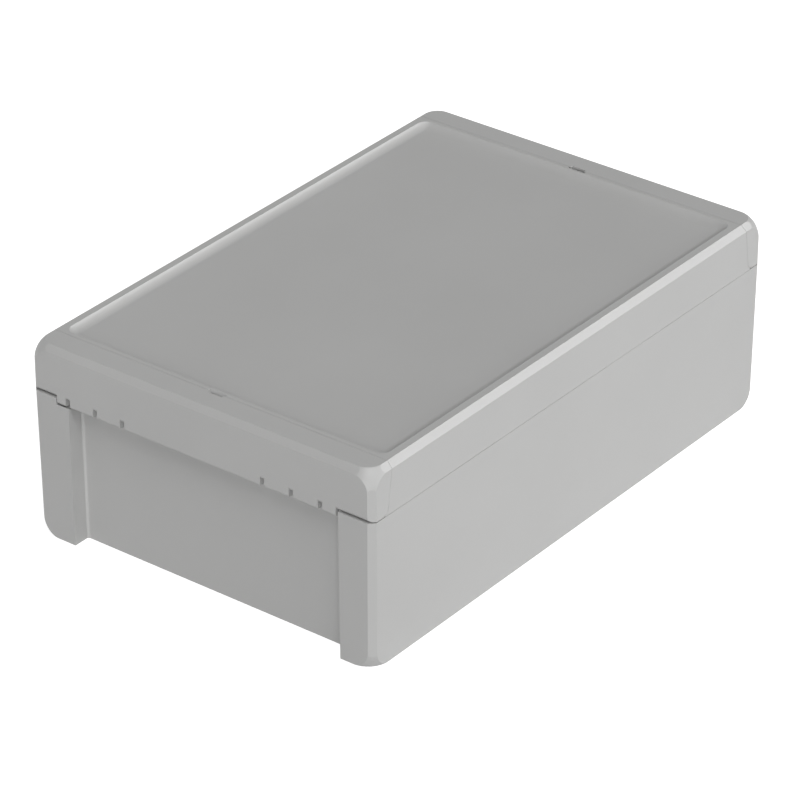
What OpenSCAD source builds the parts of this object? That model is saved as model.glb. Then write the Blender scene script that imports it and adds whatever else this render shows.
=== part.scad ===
// Moulded project box with a recessed lid panel and a hinged snap strip at each end.
// X runs along the box, Y across it, Z up. The origin is at the centre of the foot plane.

/* [Overall size] */
// Length over both end strips
box_l = 271; // [200:1:330]
// Width over the long sides
box_w = 176; // [140:1:230]
// Height from the foot plane to the rim of the lid
box_h = 91; // [70:1:140]
// Height of the lid above the rim of the base
lid_h = 22.6; // [20:0.1:30]

/* [Outer edges] */
// Flat chamfer along every outer edge of the lid and down the corners
edge_c = 2.6; // [1.5:0.1:3.2]
// Radius of the face outlines at the upper corners
corner_r = 6.8; // [5:0.1:10]
// Radius of the face outlines at the foot corners
foot_r = 8; // [5:0.1:10]
// Mould draft of the outer walls of the base, in degrees
draft = 0.55; // [0:0.05:1]

/* [Base shell] */
// Wall of the long sides at the rim
side_t = 3.5; // [3:0.1:4.5]
// Wall of the recessed ends at the rim
end_t = 3.8; // [3.4:0.1:5]
// Floor of the base
floor_t = 3.4; // [2.5:0.1:5]
// Depth of the recess between the legs at each end
recess_d = 8.1; // [8:0.1:12]
// Width of the leg at the left of each end
leg_a = 19.8; // [18:0.1:22]
// Width of the leg at the right of each end
leg_b = 17.1; // [16:0.1:17.6]
// Concave radius where each leg meets the recessed wall
web_r = 1.2; // [0.5:0.1:4]
// Plan radius of the inside corners
inner_r = 12.6; // [11:0.1:16]
// Depth of the shallow panel under the floor
under_d = 0.7; // [0.3:0.1:1.2]
// Width of the rim round the panel under the floor
under_rim = 22; // [20:1:30]

/* [Seal] */
// Height of the sealing tongue above the rim
tongue_h = 2; // [1.5:0.1:2.6]
// Thickness of the sealing tongue
tongue_t = 1.4; // [1.2:0.1:1.8]
// Height of the seal in its groove
seal_h = 2; // [1.5:0.1:3]
// Play between the tongue and the groove
groove_gap = 0.3; // [0.2:0.05:0.4]

/* [Lid] */
// Depth of the recessed panel
panel_d = 2.1; // [1:0.1:3]
// Thickness of the recessed panel
panel_t = 3; // [2:0.1:4]
// Rim beside the panel on the long sides
rim_side = 5.9; // [5:0.1:10]
// Rim beside the panel at the ends, strip included
rim_end = 14.9; // [14.4:0.1:20]
// Radius of the hollow edge round the panel
panel_r = 6; // [5:0.1:8]
// Seam between lid and base
seam = 0.15; // [0.05:0.05:0.3]

/* [End strips] */
// Width of the top flange of each strip
flange_w = 12.7; // [12:0.1:14]
// Thickness of the top flange
flange_t = 2.6; // [2.2:0.1:3]
// Thickness of the end wall of each strip
wall_t = 2.5; // [2.2:0.1:3]
// Thickness of the two side tabs
tab_t = 2.6; // [2.2:0.1:3]
// Lean of the inboard edge of each tab, in degrees
tab_lean = 8; // [4:0.5:9]
// Radius at the lower inboard corner of each tab
tab_r = 3.5; // [2.5:0.1:4]
// Gap between the strip and the top of each leg
leg_gap = 0.5; // [0.3:0.05:1]
// Seam between strip and lid
strip_seam = 0.15; // [0.1:0.05:0.4]
// Height of the skirt that hangs between the legs
skirt_h = 3.1; // [2.5:0.1:3.6]
// Skirt end, measured in from the left side of the box
skirt_in_a = 13.7; // [13.6:0.1:18]
// Skirt end, measured in from the right side of the box
skirt_in_b = 18.3; // [13.6:0.1:20]
// Width of the pry slot in the flange
pry_w = 7; // [5:0.5:12]
// Depth of the pry slot
pry_d = 1.3; // [1:0.1:2]

/* [Hinge hooks] */
// Radius of the hinge barrel along the foot of each strip
barrel_r = 1.9; // [1.6:0.05:2.1]
// Play between barrel and hook
hook_play = 0.05; // [0.02:0.01:0.1]
// Wall of the hook round the barrel
hook_t = 0.95; // [0.8:0.05:1.1]
// Thickness of each hook plate
hook_w = 1.8; // [1.4:0.1:2]
// Width of the slot that each hook runs in
slot_w = 2.4; // [2.2:0.1:3]
// Spacing of the hooks within a group
hook_pitch = 14.5; // [10:0.5:16]
// Outermost hook, measured in from the left side of the box
hook_in_a = 19.5; // [17:0.5:30]
// Outermost hook, measured in from the right side of the box
hook_in_b = 26; // [20:0.5:30]

/* [Fixings] */
// Fixing hole in from the end of the box
fix_in_x = 6; // [5.7:0.1:6.5]
// Fixing hole in from the side of the box
fix_in_y = 8.5; // [8:0.1:9.5]
// Radius of the fixing hole
fix_r = 2.2; // [1.6:0.1:2.6]
// Radius of the screw head channel
head_r = 3.7; // [3.2:0.1:3.8]
// Floor under the screw head
head_z = 6; // [4:0.5:12]
// Board boss in from the end of the box
boss_in_x = 30; // [26:1:50]
// Board boss in from the side of the box
boss_in_y = 26; // [22:1:40]
// Height of the board bosses above the floor
boss_h = 8; // [4:0.5:15]
// Radius of the board bosses
boss_r = 3.8; // [3:0.1:5]
// Radius of the pilot hole in each boss
pilot_r = 1.25; // [1:0.05:1.6]

/* [Hidden] */
$fn = 64;
big = 600;
shell_col = [0.72, 0.73, 0.71];
seal_col = [0.12, 0.12, 0.13];

hl = box_l / 2;
hw = box_w / 2;
rim_z = box_h - lid_h;
strip_z = rim_z + leg_gap;

// Hinge barrel, seen from the end face: distance in from the end, and height.
ax_u = barrel_r;
ax_z = strip_z + barrel_r;
skirt_z = strip_z - skirt_h;
skirt_reach = sqrt(pow(barrel_r + skirt_h, 2) + pow(max(barrel_r, wall_t - barrel_r), 2));
scoop_r = skirt_reach + 0.35;
hook_ri = barrel_r + hook_play;
hook_ro = hook_ri + hook_t;
lip_u = 0.55 * barrel_r;
skin_u = lip_u - 0.28;

// Sealing ring, as half sizes of rounded rectangles.
cav_x = hl - recess_d - end_t;
cav_y = hw - side_t;
ton_x = cav_x + tongue_t;
ton_y = cav_y + tongue_t;
ton_r = inner_r + tongue_t;
out_gap = groove_gap * 2;
grv_x = ton_x + out_gap;
grv_y = ton_y + groove_gap;
grv_r = ton_r + groove_gap;
rib_x = cav_x - groove_gap;
rib_y = cav_y - groove_gap;
rib_r = inner_r - groove_gap;
rib_t = 1.5;
tongue_z = rim_z + tongue_h;
groove_z = tongue_z + seal_h;

// Lid.
lid_z = rim_z + seam;
panel_z = box_h - panel_d;
ceil_z = panel_z - panel_t;
plug_x = hl - recess_d - 0.2;
plug_y = hw - tab_t - 0.2;
plug_r = 13;
plug_z = box_h - flange_t - 0.2;
flange_z = box_h - flange_t;
bead_r = 0.6;
bead_u = flange_w - 2.4;
lean_k = tan(tab_lean);

// Rounded rectangle from half sizes and a corner radius.
module rrect(hx, hy, r) {
    square([2 * hx - 2 * r, 2 * hy], center = true);
    square([2 * hx, 2 * hy - 2 * r], center = true);
    for (sx = [-1, 1]) {
        for (sy = [-1, 1]) {
            translate([sx * (hx - r), sy * (hy - r)])
                circle(r);
        }
    }
}

// Block with rounded corners in plan.
module rblock(hx, hy, r, z0, z1) {
    translate([0, 0, z0])
        linear_extrude(z1 - z0)
            rrect(hx, hy, r);
}

// Calls its child once at each corner, with the corner at the origin and the box on the positive side.
module at_corners(x, y, z) {
    for (mx = [0, 1]) {
        for (my = [0, 1]) {
            mirror([mx, 0, 0])
                mirror([0, my, 0])
                    translate([-x, -y, z])
                        children();
        }
    }
}

// Outer form of the lid and the strips: chamfered edges and rounded upper corners.
module upper_form(z0) {
    a = edge_c + corner_r;
    rho = sqrt(a * a + corner_r * corner_r);
    difference() {
        translate([-hl, -hw, z0])
            cube([box_l, box_w, box_h - z0]);
        at_corners(hl, hw, z0 - 1) {
            rotate([0, 0, 45])
                translate([-big, -big / 2, 0])
                    cube([big + edge_c / sqrt(2), big, big]);
        }
        for (s = [-1, 1]) {
            translate([0, s * (hw - edge_c / 2), box_h - edge_c / 2])
                rotate([s * -45, 0, 0])
                    translate([-big / 2, -big / 2, 0])
                        cube([big, big, big]);
            translate([s * (hl - edge_c / 2), 0, box_h - edge_c / 2])
                rotate([0, s * 45, 0])
                    translate([-big / 2, -big / 2, 0])
                        cube([big, big, big]);
        }
        at_corners(hl, hw, box_h) {
            difference() {
                translate([-1, -1, -a])
                    cube([a + 1, a + 1, a + 1]);
                translate([a, a, -a])
                    sphere(rho);
            }
        }
    }
}

// Outer form of the base: drafted walls, chamfered corners and rounded foot corners.
module lower_form() {
    a = edge_c + foot_r;
    rho = sqrt(a * a + foot_r * foot_r);
    inset = (rim_z - foot_r) * tan(draft);
    draft_45 = atan(sqrt(2) * tan(draft));
    difference() {
        translate([-hl, -hw, 0])
            cube([box_l, box_w, rim_z]);
        for (s = [0, 180]) {
            rotate([0, 0, s])
                translate([hl, 0, rim_z])
                    rotate([0, draft, 0])
                        translate([0, -big / 2, -big / 2])
                            cube([big, big, big]);
            rotate([0, 0, s + 90])
                translate([hw, 0, rim_z])
                    rotate([0, draft, 0])
                        translate([0, -big / 2, -big / 2])
                            cube([big, big, big]);
        }
        for (s = [45, 135, 225, 315]) {
            rotate([0, 0, s])
                translate([corner_gauge(), 0, rim_z])
                    rotate([0, draft_45, 0])
                        translate([0, -big / 2, -big / 2])
                            cube([big, big, big]);
        }
        at_corners(hl - inset, hw - inset, 0) {
            difference() {
                translate([-3, -3, -1])
                    cube([a + 3, a + 3, foot_r + 1]);
                translate([a, a, foot_r])
                    sphere(rho);
            }
        }
    }
}

// Distance from the centre of the box to the chamfer of a vertical corner.
function corner_gauge() = (hl + hw - edge_c) / sqrt(2);

// Plan of the recess between the legs, drawn at the end face with X pointing into the box.
module recess_plan() {
    ya = hw - leg_a;
    yb = hw - leg_b;
    translate([-5, -yb])
        square([recess_d + 5 - web_r, ya + yb]);
    translate([-5, web_r - yb])
        square([recess_d + 5, ya + yb - 2 * web_r]);
    for (y = [ya - web_r, web_r - yb]) {
        translate([recess_d - web_r, y])
            circle(web_r);
    }
}

// Places its child at the end face of the box, with X pointing into the box.
module at_front() {
    translate([-hl, 0, 0])
        children();
}

// Prism across the box from a plane figure drawn with X into the box and Y upward.
module across(y0, y1) {
    translate([0, y1, 0])
        rotate([90, 0, 0])
            linear_extrude(y1 - y0)
                children();
}

// Rod across the box.
module rod(u, z, r, y0, y1) {
    translate([u, y0, z])
        rotate([-90, 0, 0])
            cylinder(h = y1 - y0, r = r);
}

// Places its child at every hook of the front end.
module at_hooks() {
    for (i = [0:2]) {
        translate([0, -hw + hook_in_b + i * hook_pitch, 0])
            children();
        translate([0, hw - hook_in_a - i * hook_pitch, 0])
            children();
    }
}

// One hook plate: an open ring on a gusset that stands on the recessed wall.
module hook_plate() {
    wall_u = recess_d + 0.6;
    difference() {
        union() {
            rod(ax_u, ax_z, hook_ro, -hook_w / 2, hook_w / 2);
            across(-hook_w / 2, hook_w / 2)
                polygon([
                    [wall_u, rim_z - 8],
                    [wall_u, rim_z],
                    [recess_d - 0.7, rim_z],
                    [ax_u + 0.87 * hook_ro, ax_z + 0.5 * hook_ro],
                    [ax_u + 0.5, ax_z],
                    [ax_u + 0.3 * hook_ro, ax_z - 0.95 * hook_ro]
                ]);
        }
        rod(ax_u, ax_z, hook_ri, -hook_w, hook_w);
        translate([-5, -hook_w, ax_z])
            cube([5 + lip_u, 2 * hook_w, 6]);
        translate([-5, -hook_w, ax_z - 6])
            cube([5 + ax_u, 2 * hook_w, 6.1]);
    }
}

// Everything that both ends of the base share, drawn at the front.
module base_end_cut() {
    at_front() {
        translate([0, 0, rim_z])
            rotate([0, -draft, 0])
                translate([0, 0, -rim_z - 5])
                    linear_extrude(rim_z + 10)
                        recess_plan();
        rod(ax_u, ax_z, scoop_r, -hw + skirt_in_b - 0.5, hw - skirt_in_a + 0.5);
    }
}

// Board boss on the floor.
module boss() {
    difference() {
        cylinder(h = boss_h + 1, r = boss_r);
        translate([0, 0, 2])
            cylinder(h = boss_h + 1, r = pilot_r);
    }
}

module base() {
    color(shell_col) {
        difference() {
            lower_form();
            base_end_cut();
            rotate([0, 0, 180])
                base_end_cut();
            rblock(cav_x, cav_y, inner_r, floor_t, rim_z + 1);
            rblock(hl - under_rim, hw - under_rim + 4, 6, -1, under_d);
            at_corners(hl - fix_in_x, hw - fix_in_y, 0) {
                translate([0, 0, -1])
                    cylinder(h = box_h, r = fix_r);
                translate([0, 0, head_z])
                    cylinder(h = box_h, r = head_r);
            }
        }
        difference() {
            rblock(ton_x, ton_y, ton_r, rim_z - 1, tongue_z);
            rblock(cav_x, cav_y, inner_r, rim_z - 2, tongue_z + 1);
        }
        for (s = [0, 180]) {
            rotate([0, 0, s])
                at_front()
                    at_hooks()
                        hook_plate();
        }
        for (x = [-1, 0, 1]) {
            for (y = [-1, 1]) {
                translate([x * (hl - boss_in_x), y * (hw - boss_in_y), floor_t - 1])
                    boss();
            }
        }
    }
}

// Height of the centre of the rounded lower corner of a tab.
function tab_z() = strip_z + tab_r;

// Distance of that centre from the end face.
function tab_u() = flange_w - (box_h - tab_z()) * lean_k - tab_r / cos(tab_lean);

// Outline of a strip, seen from the side, widened by a gap and open down to a given height.
module strip_outline(gap, low_z) {
    zt = tab_z() - tab_r * sin(tab_lean);
    xt = tab_u() + tab_r * cos(tab_lean);
    polygon([
        [-5, ax_z],
        [-5, box_h + 5],
        [flange_w + gap, box_h + 5],
        [flange_w + gap, box_h],
        [xt + gap, zt],
        [tab_u(), zt],
        [tab_u(), low_z],
        [ax_u, low_z],
        [ax_u, ax_z]
    ]);
    translate([tab_u(), tab_z()])
        circle(tab_r + gap);
    translate([ax_u, ax_z])
        circle(barrel_r);
}

// Section of the hollow in the lid panel: a flat floor between two rounded sides.
module panel_section(half) {
    intersection() {
        union() {
            translate([-half, panel_z])
                square([2 * half, panel_r]);
            for (k = [-1, 1]) {
                translate([k * half, panel_z + panel_r])
                    circle(panel_r);
            }
        }
        translate([-half - panel_r, panel_z - 1])
            square([2 * half + 2 * panel_r, panel_r]);
    }
}

// Shallow hollow of the lid panel with rounded edges and corners.
module panel_cut() {
    h = panel_r - panel_d;
    w = sqrt(panel_r * panel_r - h * h);
    px = hl - rim_end - w;
    py = hw - rim_side - w;
    rotate([90, 0, 90])
        translate([0, 0, -px])
            linear_extrude(2 * px)
                panel_section(py);
    rotate([90, 0, 0])
        translate([0, 0, -py])
            linear_extrude(2 * py)
                panel_section(px);
    for (k = [-1, 1]) {
        for (m = [-1, 1]) {
            translate([k * px, m * py, 0])
                rotate_extrude()
                    intersection() {
                        translate([0, panel_z + panel_r])
                            circle(panel_r);
                        translate([0, panel_z - 1])
                            square([panel_r + 1, panel_r]);
                    }
        }
    }
}

// Room that a strip takes at the front end of the lid.
module strip_room() {
    at_front()
        across(-hw - 5, hw + 5)
            union() {
                strip_outline(strip_seam, rim_z - 5);
                translate([-5, rim_z - 5])
                    square([5 + tab_u() + tab_r / 2, leg_gap + 5.6]);
                translate([-5, rim_z - 5])
                    square([5 + ax_u, ax_z - rim_z + 5.5]);
            }
}

module lid() {
    color(shell_col)
        difference() {
            union() {
                difference() {
                    upper_form(lid_z);
                    strip_room();
                    rotate([0, 0, 180])
                        strip_room();
                }
                rblock(plug_x, plug_y, plug_r, lid_z, plug_z);
            }
            difference() {
                rblock(grv_x, grv_y, grv_r, lid_z - 1, groove_z);
                rblock(rib_x, rib_y, rib_r, lid_z - 2, groove_z + 1);
            }
            rblock(rib_x - rib_t, rib_y - rib_t, rib_r - rib_t, lid_z - 1, ceil_z);
            panel_cut();
            for (s = [0, 180]) {
                rotate([0, 0, s])
                    at_front() {
                        rod(bead_u, flange_z, bead_r + 0.3, -hw + 24, hw - 24);
                        translate([flange_w + pry_d, 0, box_h])
                            rotate([0, -45, 0])
                                translate([-5, -pry_w / 2 - 1, 0])
                                    cube([5, pry_w + 2, 3]);
                    }
            }
        }
}

module seal() {
    color(seal_col)
        difference() {
            rblock(grv_x - 0.1, grv_y - 0.1, grv_r - 0.1, tongue_z, groove_z);
            rblock(rib_x + 0.1, rib_y + 0.1, rib_r + 0.1, tongue_z - 1, groove_z + 1);
        }
}

// Hollow of the strip behind its end wall and under its flange.
module strip_hollow() {
    r = 6;
    yi = hw - tab_t;
    translate([0, 0, skirt_z - 5])
        linear_extrude(flange_z - skirt_z + 5) {
            translate([wall_t + r, -yi])
                square([flange_w, 2 * yi]);
            translate([wall_t, -yi + r])
                square([flange_w, 2 * yi - 2 * r]);
            for (k = [-1, 1]) {
                translate([wall_t + r, k * (yi - r)])
                    circle(r);
            }
        }
}

// Room for one hook plate in the foot of the strip.
module hook_slot() {
    w = slot_w / 2;
    difference() {
        rod(ax_u, ax_z, hook_ro + 0.2, -w, w);
        rod(ax_u, ax_z, barrel_r, -w - 1, w + 1);
        translate([-5, -w - 1, ax_z])
            cube([5 + skin_u, slot_w + 2, 12]);
    }
    translate([-5, -w, skirt_z - 5])
        cube([5 + wall_t + 1, slot_w, strip_z - skirt_z + 5]);
}

// Stiffening rib inside the strip.
module strip_rib() {
    across(-0.75, 0.75)
        polygon([
            [wall_t - 1, ax_z + 4],
            [wall_t - 1, flange_z + 1],
            [recess_d - 0.6, flange_z + 1],
            [recess_d - 0.6, flange_z - 1],
            [wall_t + 1.4, ax_z + 5]
        ]);
}

module end_strip() {
    rib_n = 4;
    y_lo = -hw + skirt_in_b;
    y_hi = hw - skirt_in_a;
    round_r = 1.2;
    difference() {
        intersection() {
            upper_form(skirt_z - 5);
            at_front() {
                difference() {
                    across(-hw, hw)
                        strip_outline(0, strip_z);
                    strip_hollow();
                }
                rod(ax_u, ax_z, barrel_r, -hw + tab_t, hw - tab_t);
                across(y_lo, y_hi)
                    union() {
                        translate([0, skirt_z + round_r])
                            square([wall_t, ax_z - skirt_z - round_r]);
                        translate([round_r, skirt_z])
                            square([wall_t - round_r, ax_z - skirt_z]);
                        translate([round_r, skirt_z + round_r])
                            circle(round_r);
                    }
                rod(bead_u, flange_z, bead_r, -hw + 25, hw - 25);
                for (i = [-rib_n:rib_n]) {
                    translate([0, i * (hw - 14) / rib_n, 0])
                        strip_rib();
                }
            }
        }
        at_front() {
            at_hooks()
                hook_slot();
            translate([flange_w - pry_d, -pry_w / 2, flange_z - 1])
                cube([5, pry_w, 10]);
        }
    }
}

module front_strip() {
    color(shell_col)
        end_strip();
}

module rear_strip() {
    color(shell_col)
        rotate([0, 0, 180])
            end_strip();
}

base();
lid();
seal();
front_strip();
rear_strip();
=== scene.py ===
"""Dresses the moulded project box and sets it on a pale studio floor.

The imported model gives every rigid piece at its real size. This script adds the
finishes of the mouldings and of the seal, the floor, the light and the camera.
"""
import logging
import math
from dataclasses import dataclass
from enum import Enum

import bpy
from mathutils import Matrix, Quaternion, Vector


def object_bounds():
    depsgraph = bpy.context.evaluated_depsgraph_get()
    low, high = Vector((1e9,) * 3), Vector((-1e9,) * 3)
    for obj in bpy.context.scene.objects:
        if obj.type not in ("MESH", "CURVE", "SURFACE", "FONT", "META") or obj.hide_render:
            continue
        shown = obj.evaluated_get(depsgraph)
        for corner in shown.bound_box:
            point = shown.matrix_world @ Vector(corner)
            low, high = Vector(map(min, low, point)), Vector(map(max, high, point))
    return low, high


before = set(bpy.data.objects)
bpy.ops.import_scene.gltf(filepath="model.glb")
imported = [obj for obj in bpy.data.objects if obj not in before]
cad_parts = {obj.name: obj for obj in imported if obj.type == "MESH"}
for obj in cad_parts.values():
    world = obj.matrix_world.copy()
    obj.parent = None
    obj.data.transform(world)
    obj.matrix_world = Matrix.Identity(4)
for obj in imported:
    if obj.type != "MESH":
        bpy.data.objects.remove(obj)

CAD_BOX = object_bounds()
log = logging.getLogger("project_box")


class Moulding(Enum):
    """The plastic mouldings of the box, by the name of their node."""

    BASE = "base"
    LID = "lid"
    FRONT_STRIP = "front_strip"
    REAR_STRIP = "rear_strip"


class NodeWriter:
    """Adds shader nodes to one material and links them."""

    def __init__(self, name: str) -> None:
        """Starts an empty material.

        Args:
            name: Name of the material.
        """
        self.material = bpy.data.materials.new(name)
        self.material.use_nodes = True
        self.tree = self.material.node_tree
        self.tree.nodes.clear()

    def add(self, kind: str, **values: object) -> bpy.types.Node:
        """Adds one node.

        Args:
            kind: Blender's type name of the node.
            **values: Properties of the node, or values of its input sockets.

        Returns:
            The new node.
        """
        node = self.tree.nodes.new(kind)
        for key, value in values.items():
            socket = key.replace("_", " ")
            if hasattr(node, key):
                setattr(node, key, value)
            else:
                match = [s for s in node.inputs if s.name.lower() == socket.lower()]
                match[0].default_value = value
        return node

    def link(self, source: bpy.types.NodeSocket, target: bpy.types.NodeSocket) -> None:
        """Links an output socket to an input socket."""
        self.tree.links.new(source, target)

    def ramp(
        self, source: bpy.types.NodeSocket, low: float, high: float, start: float = 0.3, end: float = 0.7
    ) -> bpy.types.NodeSocket:
        """Maps a pattern from start..end to low..high.

        Args:
            source: Socket with the pattern.
            low: Value at start and below it.
            high: Value at end and above it.
            start: Pattern value that gives low.
            end: Pattern value that gives high.

        Returns:
            The socket with the mapped value.
        """
        node = self.add("ShaderNodeMapRange")
        node.inputs["From Min"].default_value = start
        node.inputs["From Max"].default_value = end
        node.inputs["To Min"].default_value = low
        node.inputs["To Max"].default_value = high
        self.link(source, node.inputs["Value"])
        return node.outputs["Result"]


@dataclass(frozen=True)
class EtchedPlastic:
    """Light grey moulded plastic with a fine spark-etched texture."""

    name: str
    colour: tuple[float, float, float]
    roughness: float = 0.42
    roughness_swing: float = 0.06
    shade_swing: float = 0.018
    cloud_scale: float = 14.0
    grain_scale: float = 1700.0
    pit_scale: float = 620.0
    pit_depth: float = 0.35
    grain_height: float = 0.00002
    grain_strength: float = 0.22
    ior: float = 1.47
    specular: float = 0.5

    def make(self) -> bpy.types.Material:
        """Builds the material.

        Returns:
            The finished material.
        """
        w = NodeWriter(self.name)
        place = w.add("ShaderNodeTexCoord")
        cloud = w.add("ShaderNodeTexNoise", Scale=self.cloud_scale, Detail=3.0, Roughness=0.55)
        grain = w.add("ShaderNodeTexNoise", Scale=self.grain_scale, Detail=2.0, Roughness=0.6)
        pits = w.add("ShaderNodeTexVoronoi", Scale=self.pit_scale)
        for pattern in (cloud, grain, pits):
            w.link(place.outputs["Object"], pattern.inputs["Vector"])

        tint = w.add("ShaderNodeMix", data_type="RGBA")
        dark = tuple(c * (1.0 - self.shade_swing) for c in self.colour) + (1.0,)
        pale = tuple(c * (1.0 + self.shade_swing) for c in self.colour) + (1.0,)
        tint.inputs[6].default_value = dark
        tint.inputs[7].default_value = pale
        w.link(w.ramp(cloud.outputs["Fac"], 0.0, 1.0), tint.inputs[0])

        height = w.add("ShaderNodeMath", operation="ADD")
        w.link(grain.outputs["Fac"], height.inputs[0])
        w.link(w.ramp(pits.outputs["Distance"], -self.pit_depth, 0.0, 0.0, 0.6), height.inputs[1])
        bump = w.add("ShaderNodeBump")
        bump.inputs["Strength"].default_value = self.grain_strength
        bump.inputs["Distance"].default_value = self.grain_height
        w.link(height.outputs[0], bump.inputs["Height"])

        skin = w.add("ShaderNodeBsdfPrincipled")
        skin.inputs["IOR"].default_value = self.ior
        skin.inputs["Specular IOR Level"].default_value = self.specular
        w.link(tint.outputs[2], skin.inputs["Base Color"])
        low = self.roughness - self.roughness_swing
        high = self.roughness + self.roughness_swing
        w.link(w.ramp(grain.outputs["Fac"], low, high), skin.inputs["Roughness"])
        w.link(bump.outputs["Normal"], skin.inputs["Normal"])
        out = w.add("ShaderNodeOutputMaterial")
        w.link(skin.outputs[0], out.inputs["Surface"])
        return w.material


@dataclass(frozen=True)
class SealRubber:
    """Black cellular rubber of the sealing cord."""

    name: str = "seal_rubber"
    colour: tuple[float, float, float] = (0.028, 0.028, 0.031)
    dark_share: float = 0.75
    pale_share: float = 1.4
    cloud_scale: float = 160.0
    cell_scale: float = 900.0
    cell_height: float = 0.00006
    cell_strength: float = 0.5
    roughness_low: float = 0.72
    roughness_high: float = 0.9

    def make(self) -> bpy.types.Material:
        """Builds the material.

        Returns:
            The finished material.
        """
        w = NodeWriter(self.name)
        place = w.add("ShaderNodeTexCoord")
        cells = w.add("ShaderNodeTexVoronoi", Scale=self.cell_scale)
        cloud = w.add("ShaderNodeTexNoise", Scale=self.cloud_scale, Detail=3.0)
        w.link(place.outputs["Object"], cells.inputs["Vector"])
        w.link(place.outputs["Object"], cloud.inputs["Vector"])
        tint = w.add("ShaderNodeMix", data_type="RGBA")
        tint.inputs[6].default_value = tuple(c * self.dark_share for c in self.colour) + (1.0,)
        tint.inputs[7].default_value = tuple(c * self.pale_share for c in self.colour) + (1.0,)
        w.link(cloud.outputs["Fac"], tint.inputs[0])
        bump = w.add("ShaderNodeBump")
        bump.inputs["Strength"].default_value = self.cell_strength
        bump.inputs["Distance"].default_value = self.cell_height
        w.link(cells.outputs["Distance"], bump.inputs["Height"])
        skin = w.add("ShaderNodeBsdfPrincipled")
        w.link(tint.outputs[2], skin.inputs["Base Color"])
        gloss = w.ramp(cloud.outputs["Fac"], self.roughness_low, self.roughness_high)
        w.link(gloss, skin.inputs["Roughness"])
        w.link(bump.outputs["Normal"], skin.inputs["Normal"])
        out = w.add("ShaderNodeOutputMaterial")
        w.link(skin.outputs[0], out.inputs["Surface"])
        return w.material


@dataclass
class Shells:
    """The four grey mouldings, which share one plastic."""

    plastic: EtchedPlastic
    members: tuple[Moulding, ...] = tuple(Moulding)

    def dress(self) -> None:
        """Gives every moulding the etched plastic."""
        material = self.plastic.make()
        for member in self.members:
            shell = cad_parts[member.value]
            for slot in shell.material_slots:
                slot.material = material
            log.info("dressed %s in %s", member.value, self.plastic.name)


@dataclass
class SealRing:
    """The cord that lies in the groove of the lid."""

    node: str = "seal"
    rubber: SealRubber = SealRubber()

    def dress(self) -> None:
        """Gives the cord its rubber."""
        material = self.rubber.make()
        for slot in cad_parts[self.node].material_slots:
            slot.material = material
        log.info("dressed %s in %s", self.node, self.rubber.name)


@dataclass(frozen=True)
class SoftLamp:
    """One large soft lamp, far from the box."""

    name: str
    azimuth: float
    elevation: float
    strength: float
    spread: float

    def hang(self) -> None:
        """Adds the lamp, as a sun with a wide disc."""
        data = bpy.data.lights.new(self.name, "SUN")
        data.energy = self.strength
        data.angle = math.radians(self.spread)
        lamp = bpy.data.objects.new(self.name, data)
        bpy.context.scene.collection.objects.link(lamp)
        az, el = math.radians(self.azimuth), math.radians(self.elevation)
        towards = Vector((math.cos(el) * math.cos(az), math.cos(el) * math.sin(az), math.sin(el)))
        lamp.rotation_mode = "QUATERNION"
        lamp.rotation_quaternion = towards.to_track_quat("Z", "Y")
        log.info("hung %s", self.name)


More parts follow.
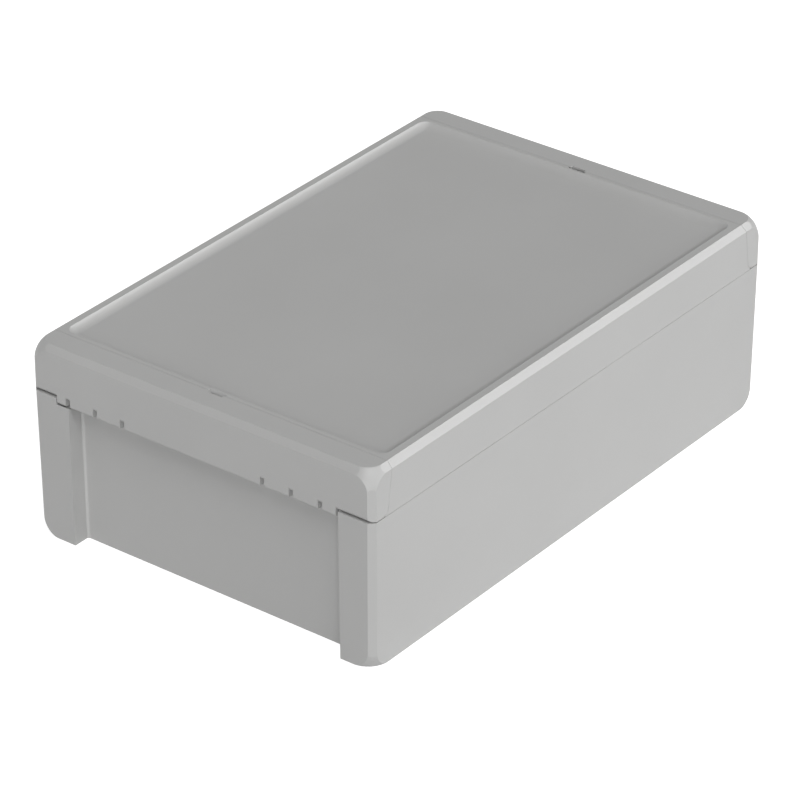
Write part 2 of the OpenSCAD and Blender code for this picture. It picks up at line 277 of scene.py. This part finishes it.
@dataclass
class Studio:
    """Floor, world, lamps and camera."""

    lamps: tuple[SoftLamp, ...]
    floor_half: float = 3.0
    floor_drop: float = 0.0002
    floor_grey: float = 0.35
    world_grey: float = 0.08
    white_glow: float = 0.9
    shadow_grey: float = 0.5
    lens: float = 200.09
    sensor: float = 36.0
    sight: float = 20.0
    camera_place: tuple[float, float, float] = (-1.288872, -0.989161, 0.971334)
    camera_turn: tuple[float, float, float, float] = (0.7769756, 0.4484020, -0.2204148, -0.3829646)

    def white_for_camera(self, w: NodeWriter, other: bpy.types.NodeSocket) -> bpy.types.NodeSocket:
        """Mixes a shader with plain white for what looks straight at it.

        Args:
            w: Writer of the material.
            other: Shader for all other rays.

        Returns:
            The socket with the mixed shader.
        """
        path = w.add("ShaderNodeLightPath")
        seen = w.add("ShaderNodeMath", operation="MAXIMUM")
        w.link(path.outputs["Is Camera Ray"], seen.inputs[0])
        w.link(path.outputs["Is Glossy Ray"], seen.inputs[1])
        mix = w.add("ShaderNodeMixShader")
        white = w.add("ShaderNodeEmission")
        white.inputs["Color"].default_value = (1.0, 1.0, 1.0, 1.0)
        white.inputs["Strength"].default_value = self.white_glow
        shade = w.add("ShaderNodeBsdfDiffuse")
        grey = self.shadow_grey
        shade.inputs["Color"].default_value = (grey, grey, grey, 1.0)
        both = w.add("ShaderNodeAddShader")
        w.link(white.outputs[0], both.inputs[0])
        w.link(shade.outputs[0], both.inputs[1])
        w.link(seen.outputs[0], mix.inputs[0])
        w.link(other, mix.inputs[1])
        w.link(both.outputs[0], mix.inputs[2])
        return mix.outputs[0]

    def lay_floor(self) -> None:
        """Lays the pale floor under the box."""
        bpy.ops.object.select_all(action="DESELECT")
        level = CAD_BOX[0][2] - self.floor_drop
        bpy.ops.mesh.primitive_plane_add(size=2 * self.floor_half, location=(0, 0, level))
        floor = bpy.context.active_object
        floor.name = "studio_floor"
        bpy.ops.object.transform_apply(location=True, rotation=True, scale=True)
        w = NodeWriter("floor_paint")
        paint = w.add("ShaderNodeBsdfDiffuse")
        grey = self.floor_grey
        paint.inputs["Color"].default_value = (grey, grey, grey, 1.0)
        out = w.add("ShaderNodeOutputMaterial")
        w.link(self.white_for_camera(w, paint.outputs[0]), out.inputs["Surface"])
        floor.data.materials.append(w.material)
        log.info("laid the floor")

    def fill_world(self) -> None:
        """Sets a dim even sky that looks white in the background."""
        world = bpy.data.worlds.new("studio_sky")
        bpy.context.scene.world = world
        world.use_nodes = True
        tree = world.node_tree
        tree.nodes.clear()
        path = tree.nodes.new("ShaderNodeLightPath")
        dim = tree.nodes.new("ShaderNodeBackground")
        grey = self.world_grey
        dim.inputs["Color"].default_value = (grey, grey, grey, 1.0)
        white = tree.nodes.new("ShaderNodeBackground")
        white.inputs["Color"].default_value = (1.0, 1.0, 1.0, 1.0)
        mix = tree.nodes.new("ShaderNodeMixShader")
        out = tree.nodes.new("ShaderNodeOutputWorld")
        tree.links.new(path.outputs["Is Camera Ray"], mix.inputs[0])
        tree.links.new(dim.outputs[0], mix.inputs[1])
        tree.links.new(white.outputs[0], mix.inputs[2])
        tree.links.new(mix.outputs[0], out.inputs["Surface"])
        log.info("filled the world")

    def place_camera(self) -> None:
        """Places the camera that looks down on the near corner."""
        data = bpy.data.cameras.new("studio_camera")
        data.sensor_width = self.sensor
        data.lens = self.lens
        data.clip_end = self.sight
        camera = bpy.data.objects.new("studio_camera", data)
        bpy.context.scene.collection.objects.link(camera)
        camera.location = self.camera_place
        camera.rotation_mode = "QUATERNION"
        camera.rotation_quaternion = Quaternion(self.camera_turn)
        bpy.context.scene.camera = camera
        log.info("placed the camera")

    def build(self) -> None:
        """Builds the whole stage."""
        self.lay_floor()
        self.fill_world()
        for lamp in self.lamps:
            lamp.hang()
        self.place_camera()
        bpy.context.scene.view_settings.view_transform = "Standard"


def main() -> None:
    """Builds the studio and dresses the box."""
    logging.basicConfig(level=logging.INFO, format="%(name)s: %(message)s")
    Studio(
        lamps=(
            SoftLamp("key_lamp", azimuth=-135.0, elevation=58.0, strength=1.26, spread=35.0),
            SoftLamp("end_lamp", azimuth=-150.0, elevation=8.0, strength=1.48, spread=35.0),
            SoftLamp("side_lamp", azimuth=-90.0, elevation=8.0, strength=0.8, spread=35.0),
            SoftLamp("rim_lamp", azimuth=-36.0, elevation=30.0, strength=1.15, spread=20.0),
            SoftLamp("back_lamp", azimuth=80.0, elevation=12.0, strength=0.5, spread=50.0),
        )
    ).build()
    Shells(EtchedPlastic("grey_plastic", colour=(0.50, 0.50, 0.495))).dress()
    SealRing().dress()


if __name__ == "__main__":
    main()
